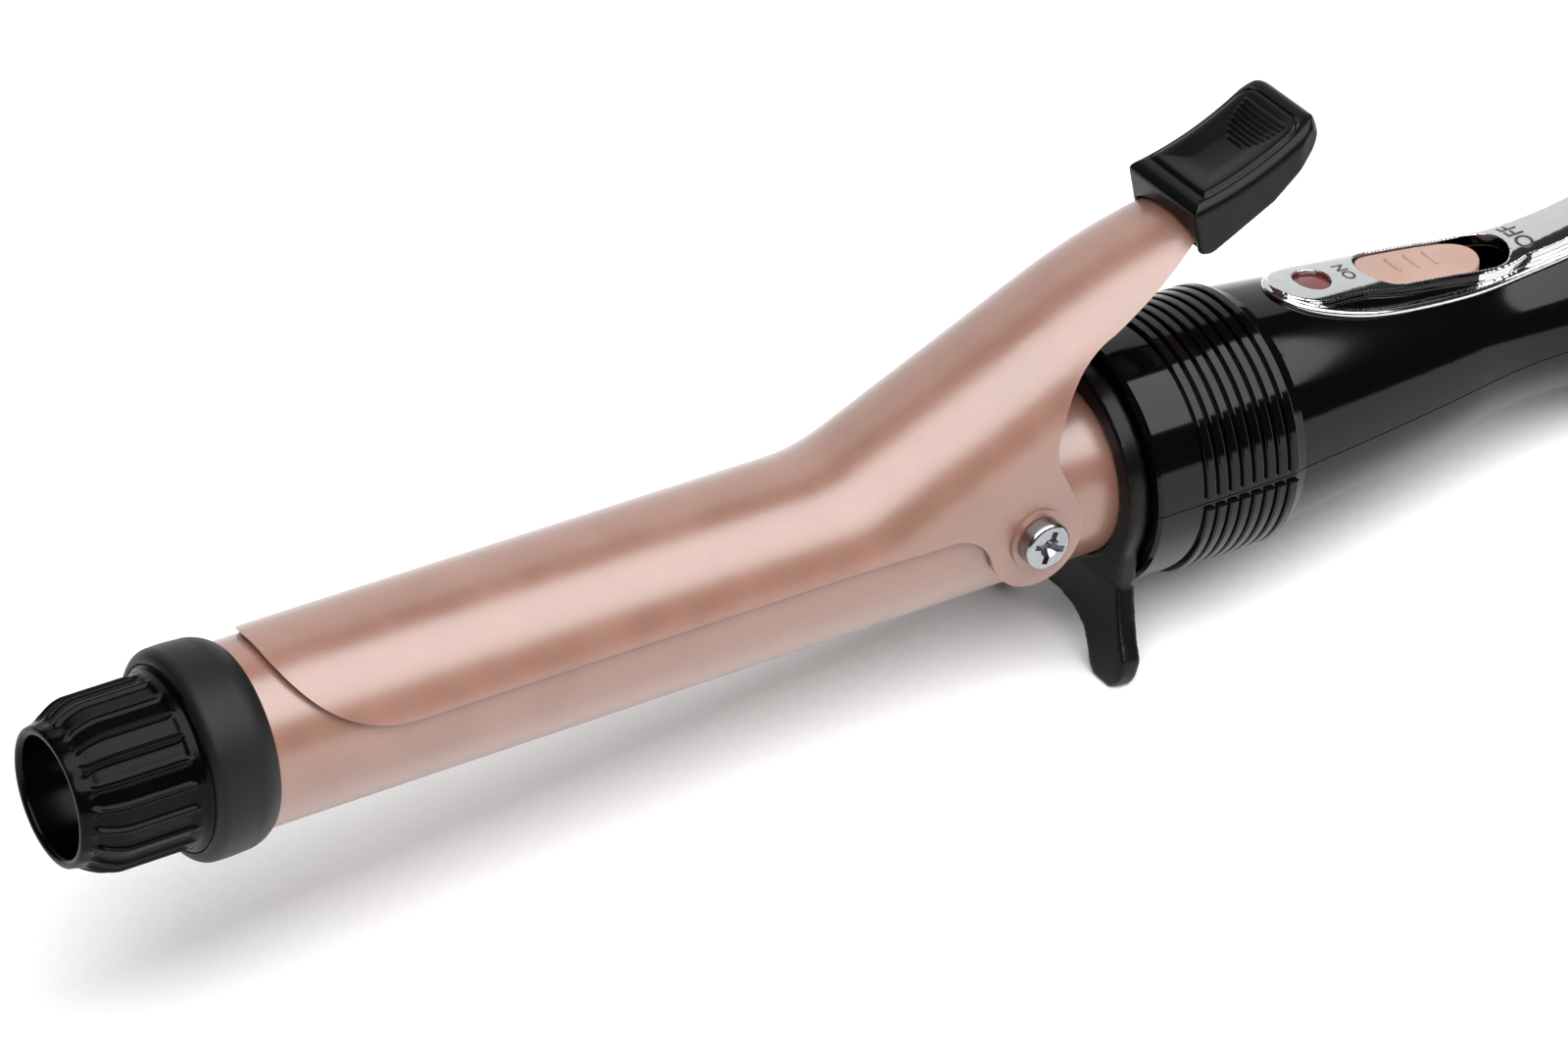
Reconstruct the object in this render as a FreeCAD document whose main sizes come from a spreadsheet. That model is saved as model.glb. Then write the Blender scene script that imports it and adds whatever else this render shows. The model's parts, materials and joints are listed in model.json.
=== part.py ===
"""Curling iron with a sprung clip, built as an assembly of separate pieces.

The iron is drawn along X: the cool tip at -X, the cord inlet at +X, the lever side up (+Z) and
the clip's pivot axis along Y through the origin. The finished pieces are then tilted and moved
together, so that the iron stands on its two feet and the handle's tail, with the origin under
the middle of its bounding box.
"""
import FreeCAD, Part
import math
import os
import Sketcher
from types import SimpleNamespace

V = FreeCAD.Vector

SIZES = {
    # heated barrel
    "barrel_radius": 16.0, "barrel_wall": 1.0, "barrel_front": -158.4, "barrel_rear": 36.0,
    # cool tip and its ring
    "tip_front": -180.5, "tip_radius": 14.9, "tip_mouth": 10.3, "tip_floor": -166.0,
    "flute_count": 22, "flute_radius": 0.9, "ring_front": -158.6, "ring_rear": -146.8,
    "ring_radius": 18.2,
    # pivot
    "pivot_screw_radius": 1.95, "pivot_bush_radius": 3.4, "pivot_head_radius": 4.4,
    "ear_radius": 9.4, "boss_radius": 5.6,
    # clip: sheet, straight run, lever
    "clip_gap": 0.3, "clip_sheet": 0.9, "clip_front": -142.6, "clip_edge": 4.4,
    "clip_bend": -29.3, "clip_bend_radius": 42.0, "lever_angle": 24.5, "lever_run": 44.0,
    "lever_bend_radius": 90.0, "lever_end_angle": 15.5, "lever_end_run": 26.0,
    # thumb rest
    "rest_width": 20.2, "rest_pad_width": 15.8, "rest_pad_depth": 1.2,
    # stand
    "stand_front": 17.3, "stand_thick": 4.0, "stand_ring": 20.4, "stand_lean": 14.0,
    # handle shells
    "handle_front": 21.6, "handle_radius": 22.9, "handle_wall": 2.2, "shoulder_x": 53.0,
    "shoulder_radius": 22.2, "waist_in_x": 96.0, "waist_in_radius": 16.6, "waist_out_x": 136.0,
    "waist_out_radius": 17.3, "tail_x": 159.0, "tail_radius": 18.6, "handle_end": 162.0,
    "rib_count": 8, "rib_first": 31.1, "rib_width": 1.9, "rib_pitch": 2.53, "rib_radius": 23.7,
    # switch trim, knob and lamp
    "trim_nose": 59.4, "trim_end": 137.0, "slot_front": 79.0, "slot_rear": 111.4,
    "slot_width": 11.8, "knob_length": 25.4, "knob_gap": 0.4, "lens_x": 68.7, "lens_radius": 3.5,
    # cord inlet
    "inlet_bore": 3.2, "inlet_shank": 7.2, "inlet_flange": 9.2, "inlet_end": 173.0,
    # how the iron stands
    "rest_angle": 5.6,
}
SCREW_SEATS = ((58.0, 19.9), (130.0, 14.4))


class Size:
    """A length that knows its value and the sheet expression that gives it."""

    def __init__(self, value, text):
        self.value = value
        self.text = text

    def __add__(self, other):
        other = as_size(other)
        return Size(self.value + other.value, f"({self.text} + {other.text})")

    def __sub__(self, other):
        other = as_size(other)
        return Size(self.value - other.value, f"({self.text} - {other.text})")

    def __mul__(self, factor):
        factor = as_size(factor)
        return Size(self.value * factor.value, f"({self.text} * {factor.text})")

    def __truediv__(self, divisor):
        divisor = as_size(divisor)
        return Size(self.value / divisor.value, f"({self.text} / {divisor.text})")

    def __neg__(self):
        return Size(-self.value, f"(-1 * {self.text})")

    def __radd__(self, other):
        return as_size(other) + self

    def __rsub__(self, other):
        return as_size(other) - self

    __rmul__ = __mul__


def as_size(number):
    """Return number as a Size; a plain number stands for itself in an expression."""
    if isinstance(number, Size):
        return number
    return Size(float(number), f"({float(number):.4f})")


doc = FreeCAD.newDocument("curling_iron")
sheet = doc.addObject("Spreadsheet::Sheet", "Sizes")
for row, (alias, number) in enumerate(SIZES.items(), start=1):
    sheet.set(f"A{row}", alias)
    sheet.set(f"B{row}", str(number))
    sheet.setAlias(f"B{row}", alias)
doc.recompute()
S = SimpleNamespace(**{alias: Size(number, f"Sizes.{alias}") for alias, number in SIZES.items()})
NODES = []


# ---------------------------------------------------------------- drawing helpers

def bind(owner, prop, length):
    """Tie a property to the sheet."""
    owner.setExpression(prop, as_size(length).text)


def new_body(label):
    """Start a sub-part."""
    body = doc.addObject("PartDesign::Body", label)
    body.Label = label
    NODES.append(body)
    return body


def new_sketch(body, plane, offset=None):
    """Start a sketch on one of the body's own origin planes."""
    sketch = body.newObject("Sketcher::SketchObject", f"{body.Name}_sketch")
    support = [item for item in body.Origin.OriginFeatures if item.Role == plane][0]
    sketch.AttachmentSupport = [(support, "")]
    sketch.MapMode = "FlatFace"
    if offset:
        sketch.AttachmentOffset = offset
    return sketch


def pin(sketch, index, end, x, y):
    """Fix one point of a sketch at x, y."""
    for kind, length in (("DistanceX", as_size(x)), ("DistanceY", as_size(y))):
        number = sketch.addConstraint(Sketcher.Constraint(kind, index, end, length.value))
        sketch.setExpression(f"Constraints[{number}]", length.text)


def arc_between(start, finish, radius):
    """Anticlockwise arc between two points.

    A positive radius bulges to the left of the way from start to finish, so that arc is drawn
    from its finish.
    """
    along = finish - start
    half = along.Length / 2
    left = V(-along.y, along.x, 0).normalize()
    sag = abs(radius) - math.sqrt(radius * radius - half * half)
    middle = (start + finish) / 2 + left * math.copysign(sag, radius)
    if radius > 0:
        return Part.Arc(finish, middle, start)
    return Part.Arc(start, middle, finish)


def draw(sketch, corners, closed=True):
    """Draw an outline of (x, y) corners.

    A third value in a corner makes the side that leaves it an arc of that radius.
    """
    first = sketch.GeometryCount
    points = [V(as_size(c[0]).value, as_size(c[1]).value, 0) for c in corners]
    sides = len(corners) if closed else len(corners) - 1
    starts = []
    for i in range(sides):
        start = points[i]
        finish = points[(i + 1) % len(points)]
        if len(corners[i]) > 2:
            radius = as_size(corners[i][2])
            index = sketch.addGeometry(arc_between(start, finish, radius.value))
            starts.append(2 if radius.value > 0 else 1)
            number = sketch.addConstraint(
                Sketcher.Constraint("Radius", index, abs(radius.value)))
            sign = "" if radius.value > 0 else "-1 * "
            sketch.setExpression(f"Constraints[{number}]", f"{sign}{radius.text}")
        else:
            sketch.addGeometry(Part.LineSegment(start, finish))
            starts.append(1)
    for i in range(sides):
        pin(sketch, first + i, starts[i], corners[i][0], corners[i][1])
        if closed or i + 1 < sides:
            follower = (i + 1) % sides
            sketch.addConstraint(Sketcher.Constraint(
                "Coincident", first + i, 3 - starts[i], first + follower, starts[follower]))
    if not closed:
        pin(sketch, first + sides - 1, 3 - starts[-1], corners[-1][0], corners[-1][1])
    return sketch


def draw_circle(sketch, x, y, radius):
    """Draw a circle."""
    centre = V(as_size(x).value, as_size(y).value, 0)
    index = sketch.addGeometry(Part.Circle(centre, V(0, 0, 1), as_size(radius).value))
    pin(sketch, index, 3, x, y)
    number = sketch.addConstraint(Sketcher.Constraint("Radius", index, as_size(radius).value))
    sketch.setExpression(f"Constraints[{number}]", as_size(radius).text)
    return sketch


def turn(body, sketch, kind="Revolution", angle=360.0, reverse=False):
    """Turn a sketch about the X axis: a Revolution adds, a Groove cuts."""
    feature = body.newObject(f"PartDesign::{kind}", f"{body.Name}_{kind.lower()}")
    feature.Profile = sketch
    feature.ReferenceAxis = (sketch, ["H_Axis"])
    feature.Angle = angle
    feature.Reversed = reverse
    return feature


def pad(body, sketch, length, both_ways=False, reverse=False):
    """Pad a sketch."""
    feature = body.newObject("PartDesign::Pad", f"{body.Name}_pad")
    feature.Profile = sketch
    feature.SideType = "Symmetric" if both_ways else "One side"
    feature.Reversed = reverse
    bind(feature, "Length", length)
    return feature


def pocket(body, sketch, length=None, both_ways=False, reverse=False):
    """Cut a sketch out of the body, through everything where no length is given."""
    feature = body.newObject("PartDesign::Pocket", f"{body.Name}_pocket")
    feature.Profile = sketch
    feature.SideType = "Symmetric" if both_ways else "One side"
    feature.Reversed = reverse
    if length is None:
        feature.Type = "ThroughAll"
    else:
        bind(feature, "Length", length)
    return feature


def repeat_round(body, feature, count):
    """Repeat a feature whose sketch looks along X round that axis."""
    pattern = body.newObject("PartDesign::PolarPattern", f"{body.Name}_pattern")
    pattern.Originals = [feature]
    pattern.Axis = (feature.Profile[0], ["N_Axis"])
    pattern.Angle = 360
    bind(pattern, "Occurrences", count)
    body.Tip = pattern
    return pattern


def repeat_along(body, feature, count, pitch):
    """Repeat a feature along the X axis."""
    pattern = body.newObject("PartDesign::LinearPattern", f"{body.Name}_pattern")
    pattern.Originals = [feature]
    pattern.Direction = (feature.Profile[0], ["H_Axis"])
    bind(pattern, "Length", pitch * (count - 1))
    bind(pattern, "Occurrences", count)
    body.Tip = pattern
    return pattern


def rectangle(x0, y0, x1, y1):
    """Corners of a rectangle."""
    return [(x0, y0), (x1, y0), (x1, y1), (x0, y1)]


def ring_body(label, x0, x1, inner, outer):
    """A plain round tube along X."""
    body = new_body(label)
    turn(body, draw(new_sketch(body, "XY_Plane"), rectangle(x0, inner, x1, outer)))
    return body


def block_body(label, x0, x1, y0, y1, z0, z1):
    """A rectangular block."""
    body = new_body(label)
    offset = FreeCAD.Placement(V(0, 0, as_size(z0).value), FreeCAD.Rotation())
    sketch = draw(new_sketch(body, "XY_Plane", offset), rectangle(x0, y0, x1, y1))
    pad(body, sketch, as_size(z1) - z0)
    return body


def primitive(kind, **lengths):
    """A Part primitive with its sizes tied to the sheet."""
    item = doc.addObject(f"Part::{kind}", kind.lower())
    for prop, length in lengths.items():
        bind(item, prop, length)
    return item


def place(item, x=0.0, y=0.0, z=0.0, axis=None, angle=0.0):
    """Put a primitive where it belongs in the iron."""
    rotation = FreeCAD.Rotation(axis, angle) if axis else FreeCAD.Rotation()
    position = V(as_size(x).value, as_size(y).value, as_size(z).value)
    item.Placement = FreeCAD.Placement(position, rotation)
    return item


def round_bar(radius, x0, x1, y=0.0, z=0.0):
    """A cylinder along X from x0 to x1."""
    bar = primitive("Cylinder", Radius=radius, Height=as_size(x1) - x0)
    return place(bar, x0, y, z, V(0, 1, 0), 90)


def join(kind, label, base, tool):
    """A Cut or a Common of two objects, as a sub-part when it has a label."""
    item = doc.addObject(f"Part::{kind}", label or kind.lower())
    item.Base = base
    item.Tool = tool
    if label:
        item.Label = label
        NODES.append(item)
    return item


def group(label, items, kind="Compound"):
    """Separate solids that share one node."""
    item = doc.addObject(f"Part::{kind}", label)
    item.Label = label
    if kind == "Compound":
        item.Links = items
    else:
        item.Shapes = items
    NODES.append(item)
    return item


# ---------------------------------------------------------------- barrel and tip

def make_barrel():
    """Coated tube with a hole each side for the pivot screws."""
    body = new_body("barrel_tube")
    wall = rectangle(S.barrel_front, S.barrel_radius - S.barrel_wall, S.barrel_rear,
                     S.barrel_radius)
    turn(body, draw(new_sketch(body, "XY_Plane"), wall))
    hole = draw_circle(new_sketch(body, "XZ_Plane"), 0, 0, S.pivot_screw_radius + 0.1)
    pocket(body, hole, both_ways=True)


def make_cool_tip():
    """Open plastic end cap with flutes along its side and a spigot in the barrel."""
    body = new_body("cool_tip")
    spigot = S.barrel_radius - S.barrel_wall - 0.1
    outline = [
        (S.tip_front, S.tip_mouth), (S.tip_front, S.tip_mouth + 1.2, 4.6),
        (S.tip_front + 4.2, S.tip_radius - 0.5, 9.0), (S.tip_front + 7.5, S.tip_radius),
        (S.barrel_front - 4.2, S.tip_radius), (S.barrel_front - 2.6, S.barrel_radius),
        (S.barrel_front - 0.1, S.barrel_radius), (S.barrel_front - 0.1, spigot),
        (S.barrel_front + 4.0, spigot), (S.barrel_front + 4.0, spigot - 1.5),
        (S.tip_floor + 2.2, spigot - 1.5), (S.tip_floor + 2.2, 1.7), (S.tip_floor, 1.7),
        (S.tip_floor, S.tip_mouth)]
    turn(body, draw(new_sketch(body, "XY_Plane"), outline))
    doc.recompute()
    low = FreeCAD.Placement(V(0, 0, S.tip_front.value + 6.5), FreeCAD.Rotation())
    flute = draw_circle(new_sketch(body, "YZ_Plane", low), 0, S.tip_radius + 0.45,
                        S.flute_radius)
    cut = pocket(body, flute, S.barrel_front - S.tip_front - 12.0, reverse=True)
    repeat_round(body, cut, S.flute_count)


def make_tip_ring():
    """Fat rounded ring over the joint of tip and barrel."""
    body = new_body("tip_ring")
    bore = S.barrel_radius + 0.1
    outline = [
        (S.ring_front, bore), (S.ring_front, S.ring_radius - 1.6, 2.4),
        (S.ring_front + 2.4, S.ring_radius, 30.0), (S.ring_rear - 4.6, S.ring_radius - 0.1, 6.5),
        (S.ring_rear, bore + 0.4), (S.ring_rear, bore)]
    turn(body, draw(new_sketch(body, "XY_Plane"), outline))


def make_tip_fixing():
    """Steel bridge inside the barrel and the screw that pulls the cool tip on to it."""
    anchor_front = S.barrel_front + 6.0
    inside = S.barrel_radius - S.barrel_wall - 0.05
    ring_body("tip_anchor", anchor_front, anchor_front + 3.0, 1.55, inside)
    body = new_body("tip_screw")
    outline = [
        (S.tip_floor - 2.0, 0), (S.tip_floor - 1.7, 2.0, 4.0), (S.tip_floor - 0.05, 3.0),
        (S.tip_floor - 0.05, 1.5), (anchor_front + 5.0, 1.5), (anchor_front + 6.5, 0)]
    turn(body, draw(new_sketch(body, "XY_Plane"), outline))
    doc.recompute()
    slot_offset = FreeCAD.Placement(V(0, 0, S.tip_floor.value - 2.1), FreeCAD.Rotation())
    slot = draw(new_sketch(body, "YZ_Plane", slot_offset), rectangle(-2.2, -0.35, 2.2, 0.35))
    pocket(body, slot, 0.9, reverse=True)


def make_heater():
    """Two half-round sinks that press a wrapped heating element between them."""
    front = S.barrel_front + 14.0
    length = 112.0
    radius = S.barrel_radius - S.barrel_wall - 0.2
    face = 2.3
    for label, side in (("heater_sink_upper", 1), ("heater_sink_lower", -1)):
        body = new_body(label)
        half = math.sqrt(radius.value ** 2 - face ** 2)
        offset = FreeCAD.Placement(V(0, 0, front.value), FreeCAD.Rotation())
        outline = [(-half, side * face, radius * side), (half, side * face)]
        sketch = draw(new_sketch(body, "YZ_Plane", offset), outline)
        pad(body, sketch, length)
    block_body("heating_element", front + 6, front + 96, -8.0, 8.0, -1.5, 1.5)
    film = block_body("insulating_film", front + 4, front + 98, -8.4, 8.4, -1.9, 1.9)
    doc.recompute()
    inner = draw(new_sketch(film, "YZ_Plane"), rectangle(-8.1, -1.6, 8.1, 1.6))
    pocket(film, inner, both_ways=True)
    group("thermal_fuse", [round_bar(1.9, front + 30, front + 42, 11.0)])
    group("heat_sensor", [round_bar(1.3, front + 60, front + 68, -11.0)])
    leads = [round_bar(0.8, front + 96.5, 52.0, y) for y in (-3.5, 3.5)]
    group("heater_leads", leads)


# ---------------------------------------------------------------- pivot and clip

def make_pivot():
    """Screws, bushes and nuts, one set on each side of the barrel."""
    face = S.barrel_radius + S.clip_gap + S.clip_sheet + 0.9
    heads = []
    bushes = []
    nuts = []
    for side in (-1, 1):
        out = V(1, 0, 0)
        quarter = 90 if side < 0 else -90
        shank = place(primitive("Cylinder", Radius=S.pivot_screw_radius, Height=face - 9.0),
                      0, side * 9.0, 0, out, quarter)
        head = place(primitive("Cylinder", Radius=S.pivot_head_radius, Height=2.8),
                     0, face * side, 0, out, quarter)
        rounded = doc.addObject("Part::Fillet", "pivot_head")
        rounded.Base = head
        doc.recompute()
        edges = [i + 1 for i, edge in enumerate(head.Shape.Edges)
                 if abs(edge.CenterOfMass.y) > face.value + 1.0 and edge.Length > 10.0]
        rounded.Edges = [(number, 0.9, 0.9) for number in edges]
        recess = []
        for angle in (0, 90):
            blade = primitive("Box", Length=6.2, Width=2.7, Height=1.2)
            turned = FreeCAD.Rotation(V(0, 1, 0), angle + 20)
            corner = turned.multVec(V(-3.1, 0, -0.6))
            y = (face.value + 1.2) if side > 0 else -(face.value + 1.2) - 2.7
            blade.Placement = FreeCAD.Placement(V(corner.x, y, corner.z), turned)
            recess.append(blade)
        pit = primitive("Cone", Radius1=0.6, Radius2=1.9, Height=2.0)
        recess.append(place(pit, 0, side * (face + 0.9), 0, out, quarter))
        cross = doc.addObject("Part::MultiFuse", "cross")
        cross.Shapes = recess
        cut_head = join("Cut", None, rounded, cross)
        screw = doc.addObject("Part::MultiFuse", "pivot_screw")
        screw.Shapes = [shank, cut_head]
        heads.append(screw)

        bush = place(primitive("Cylinder", Radius=S.pivot_bush_radius, Height=face - 14.0),
                     0, side * 14.0, 0, out, quarter)
        hole = place(primitive("Cylinder", Radius=S.pivot_screw_radius + 0.05, Height=20.0),
                     0, side * 8.0, 0, out, quarter)
        barrel = round_bar(S.barrel_radius + 0.02, -20.0, 20.0)
        bushes.append(join("Cut", None, join("Cut", None, bush, hole), barrel))

        nut = place(primitive("Cylinder", Radius=3.8, Height=5.0), 0, side * 10.0, 0, out,
                    quarter)
        bore = place(primitive("Cylinder", Radius=S.pivot_screw_radius + 0.02, Height=20.0),
                     0, side * 8.0, 0, out, quarter)
        inside = round_bar(S.barrel_radius - S.barrel_wall - 0.02, -20.0, 20.0)
        nuts.append(join("Cut", None, join("Common", None, nut, inside), bore))
    group("pivot_screws", heads)
    group("pivot_bushes", bushes)
    group("pivot_nuts", nuts)


def lever_path():
    """Corner points of the clip's centre line, with the bends' radii."""
    start = V(S.clip_front.value - 0.5, 0, 0)
    up = math.radians(S.lever_angle.value)
    end_up = math.radians(S.lever_end_angle.value)
    bend = S.clip_bend_radius.value
    second = S.lever_bend_radius.value
    tangent = bend * math.tan(up / 2)
    into = V(S.clip_bend.value - tangent, 0, 0)
    out = V(S.clip_bend.value + tangent * math.cos(up), tangent * math.sin(up), 0)
    run = out + V(math.cos(up), math.sin(up), 0) * S.lever_run.value
    centre = run + V(math.sin(up), -math.cos(up), 0) * second
    end_arc = centre + V(-math.sin(end_up), math.cos(end_up), 0) * second
    end = end_arc + V(math.cos(end_up), math.sin(end_up), 0) * S.lever_end_run.value
    return start, into, out, run, end_arc, end


def make_clip():
    """Pressed sheet: a half tube over the barrel that bends up into the lever, with two ears."""
    body = new_body("clip")
    start, into, out, run, end_arc, end = lever_path()
    path = new_sketch(body, "XZ_Plane")
    draw(path, [(start.x, start.y), (into.x, into.y, -S.clip_bend_radius),
                (out.x, out.y), (run.x, run.y, S.lever_bend_radius), (end_arc.x, end_arc.y),
                (end.x, end.y)], closed=False)
    offset = FreeCAD.Placement(V(0, 0, start.x), FreeCAD.Rotation())
    inner = S.barrel_radius + S.clip_gap
    outer = inner + S.clip_sheet
    leg = -27.0
    section = new_sketch(body, "YZ_Plane", offset)
    draw(section, [(-outer, leg), (-outer, 0, outer + 0.0001), (outer, 0), (outer, leg),
                   (inner, leg), (inner, 0, -(inner + 0.0001)), (-inner, 0), (-inner, leg)])
    doc.recompute()
    pipe = body.newObject("PartDesign::AdditivePipe", "clip_pipe")
    pipe.Profile = section
    pipe.Spine = (path, [f"Edge{i}" for i in range(1, 6)])
    pipe.Mode = "Standard"
    doc.recompute()

    ear = S.ear_radius
    edge = new_sketch(body, "XZ_Plane")
    draw(edge, [
        (S.clip_front - 8, -60), (S.clip_front - 8, outer + 2), (S.clip_front - 0.4, outer + 2),
        (S.clip_front, outer - 0.6, -26.0), (S.clip_front + 23, S.clip_edge),
        (-19.0, S.clip_edge, 9.0), (-ear, -1.6, -ear - 0.0001), (0, -ear, -ear - 0.0001),
        (ear * 0.93, ear * 0.36), (4.4, 12.0, 9.0), (4.6, 20.0, 22.0), (17.0, 33.2),
        (36.0, 43.4), (66.0, 51.7), (66.0, -60.0)])
    pocket(body, edge, both_ways=True)
    doc.recompute()

    boss_out = outer + 0.6
    boss = new_sketch(body, "XZ_Plane")
    draw_circle(boss, 0, 0, S.boss_radius)
    raised = pad(body, boss, boss_out * 2, both_ways=True)
    raised.Label = "ear_bosses"
    doc.recompute()
    inside = new_sketch(body, "XZ_Plane")
    draw_circle(inside, 0, 0, S.boss_radius - 0.9)
    pocket(body, inside, inner * 2 + 2.0, both_ways=True)
    clear = new_sketch(body, "XZ_Plane")
    draw_circle(clear, 0, 0, S.boss_radius + 0.1)
    pocket(body, clear, inner * 2, both_ways=True)
    hole = new_sketch(body, "XZ_Plane")
    draw_circle(hole, 0, 0, S.pivot_bush_radius + 0.06)
    pocket(body, hole, both_ways=True)


def make_thumb_rest():
    """Moulded shoe on the lever's end, hollow for the lever, with an inlaid thumb pad."""
    body = new_body("thumb_rest")
    top_radius = 58.0
    side = new_sketch(body, "XZ_Plane")
    draw(side, [
        (34.6, 49.6), (36.2, 51.2, -top_radius), (59.4, 61.1, 4.0), (62.1, 59.0, 30.0),
        (59.9, 54.8), (51.6, 47.6), (39.4, 41.2, 4.0), (36.4, 41.6)])
    pad(body, side, S.rest_width, both_ways=True)
    doc.recompute()
    angle = S.lever_end_angle.value
    end_arc = lever_path()[4]
    slot_offset = FreeCAD.Placement(V(0, 0, end_arc.x) + V(0, end_arc.y, 0),
                                    FreeCAD.Rotation(V(1, 0, 0), -angle))
    crown = S.barrel_radius + S.clip_gap + S.clip_sheet + 0.3
    slot = draw(new_sketch(body, "YZ_Plane", slot_offset),
                [(-8.6, 12.6), (-8.6, 15.3, crown), (8.6, 15.3), (8.6, 12.6)])
    pocket(body, slot, S.lever_end_run + 0.6, reverse=True)
    doc.recompute()
    depth = S.rest_pad_depth
    recess = draw(new_sketch(body, "XZ_Plane"), [
        (38.2, 52.0 - depth.value, -top_radius), (58.5, 60.65 - depth.value),
        (57.5, 65.0), (36.8, 58.0)])
    pocket(body, recess, S.rest_pad_width, both_ways=True)
    for side in (-1, 1):
        half = S.rest_width / 2 * side
        outside = draw(new_sketch(body, "XY_Plane"), [
            (56.6, half * 1.01), (60.8, half - 1.5 * side), (62.2, half - 4.6 * side),
            (66.0, half - 4.6 * side), (66.0, half * 1.3), (56.6, half * 1.3)])
        pocket(body, outside, both_ways=True)
    top = new_body("thumb_pad")
    strip = draw(new_sketch(top, "XZ_Plane"), [
        (38.5, 52.2 - depth.value, -top_radius), (58.2, 60.6 - depth.value),
        (57.7, 60.45, top_radius), (38.1, 52.2)])
    pad(top, strip, S.rest_pad_width - 0.3, both_ways=True)


def make_clip_spring():
    """Two one-turn springs round the bushes, under the ears' bosses."""
    coils = []
    for side in (-1, 1):
        coil = primitive("Torus", Radius1=S.pivot_bush_radius + 0.55, Radius2=0.38)
        coils.append(place(coil, 0, side * 16.5, 0, V(1, 0, 0), 90))
    group("clip_spring", coils)


# ---------------------------------------------------------------- stand and handle

def make_stand():
    """Ring plate round the barrel with two splayed feet that lean towards the tip."""
    body = new_body("stand")
    offset = FreeCAD.Placement(V(0, 0, S.stand_front.value), FreeCAD.Rotation())
    disc = draw_circle(new_sketch(body, "YZ_Plane", offset), 0, 0, S.stand_ring)
    pad(body, disc, S.stand_thick)
    neck = draw(new_sketch(body, "YZ_Plane", offset), [
        (-18.3, -9.2), (-17.5, -15.9), (17.5, -15.9), (18.3, -9.2)])
    pad(body, neck, S.stand_thick)
    lean = FreeCAD.Placement(V(0, -16.0, S.stand_front.value),
                             FreeCAD.Rotation(V(1, 0, 0), S.stand_lean.value))
    drop = -16.0
    feet = draw(new_sketch(body, "YZ_Plane", lean), [
        (-17.5, -15.8 - drop), (-19.4, -19.5 - drop, 40.0), (-24.2, -27.0 - drop, -8.0),
        (-24.0, -30.4 - drop, -3.9), (-20.9, -33.3 - drop), (-17.8, -33.3 - drop, -5.5),
        (-14.4, -30.5 - drop), (-11.4, -26.8 - drop, 18.0), (0, -24.2 - drop, 18.0),
        (11.4, -26.8 - drop), (14.4, -30.5 - drop, -5.5), (17.8, -33.3 - drop),
        (20.9, -33.3 - drop, -3.9), (24.0, -30.4 - drop, -8.0), (24.2, -27.0 - drop, 40.0),
        (19.4, -19.5 - drop), (17.5, -15.8 - drop)])
    pad(body, feet, S.stand_thick)
    doc.recompute()
    bore = draw_circle(new_sketch(body, "YZ_Plane"), 0, 0, S.barrel_radius + 0.05)
    pocket(body, bore, both_ways=True)


def shell_outline(grow):
    """Corners of the handle's outside, moved outwards by grow."""
    return [
        (S.shoulder_x - 2.6, S.handle_radius + grow), (S.shoulder_x, S.shoulder_radius + grow, 700),
        (S.waist_in_x, S.waist_in_radius + grow, -95.0),
        (S.waist_out_x, S.waist_out_radius + grow, 80.0), (S.tail_x, S.tail_radius + grow)]


def reverse_run(corners):
    """The same run of corners walked from its other end."""
    back = [(*corners[i][:2], *[-c for c in corners[i - 1][2:]])
            for i in range(len(corners) - 1, 0, -1)]
    return [*back, corners[0][:2]]


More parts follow.
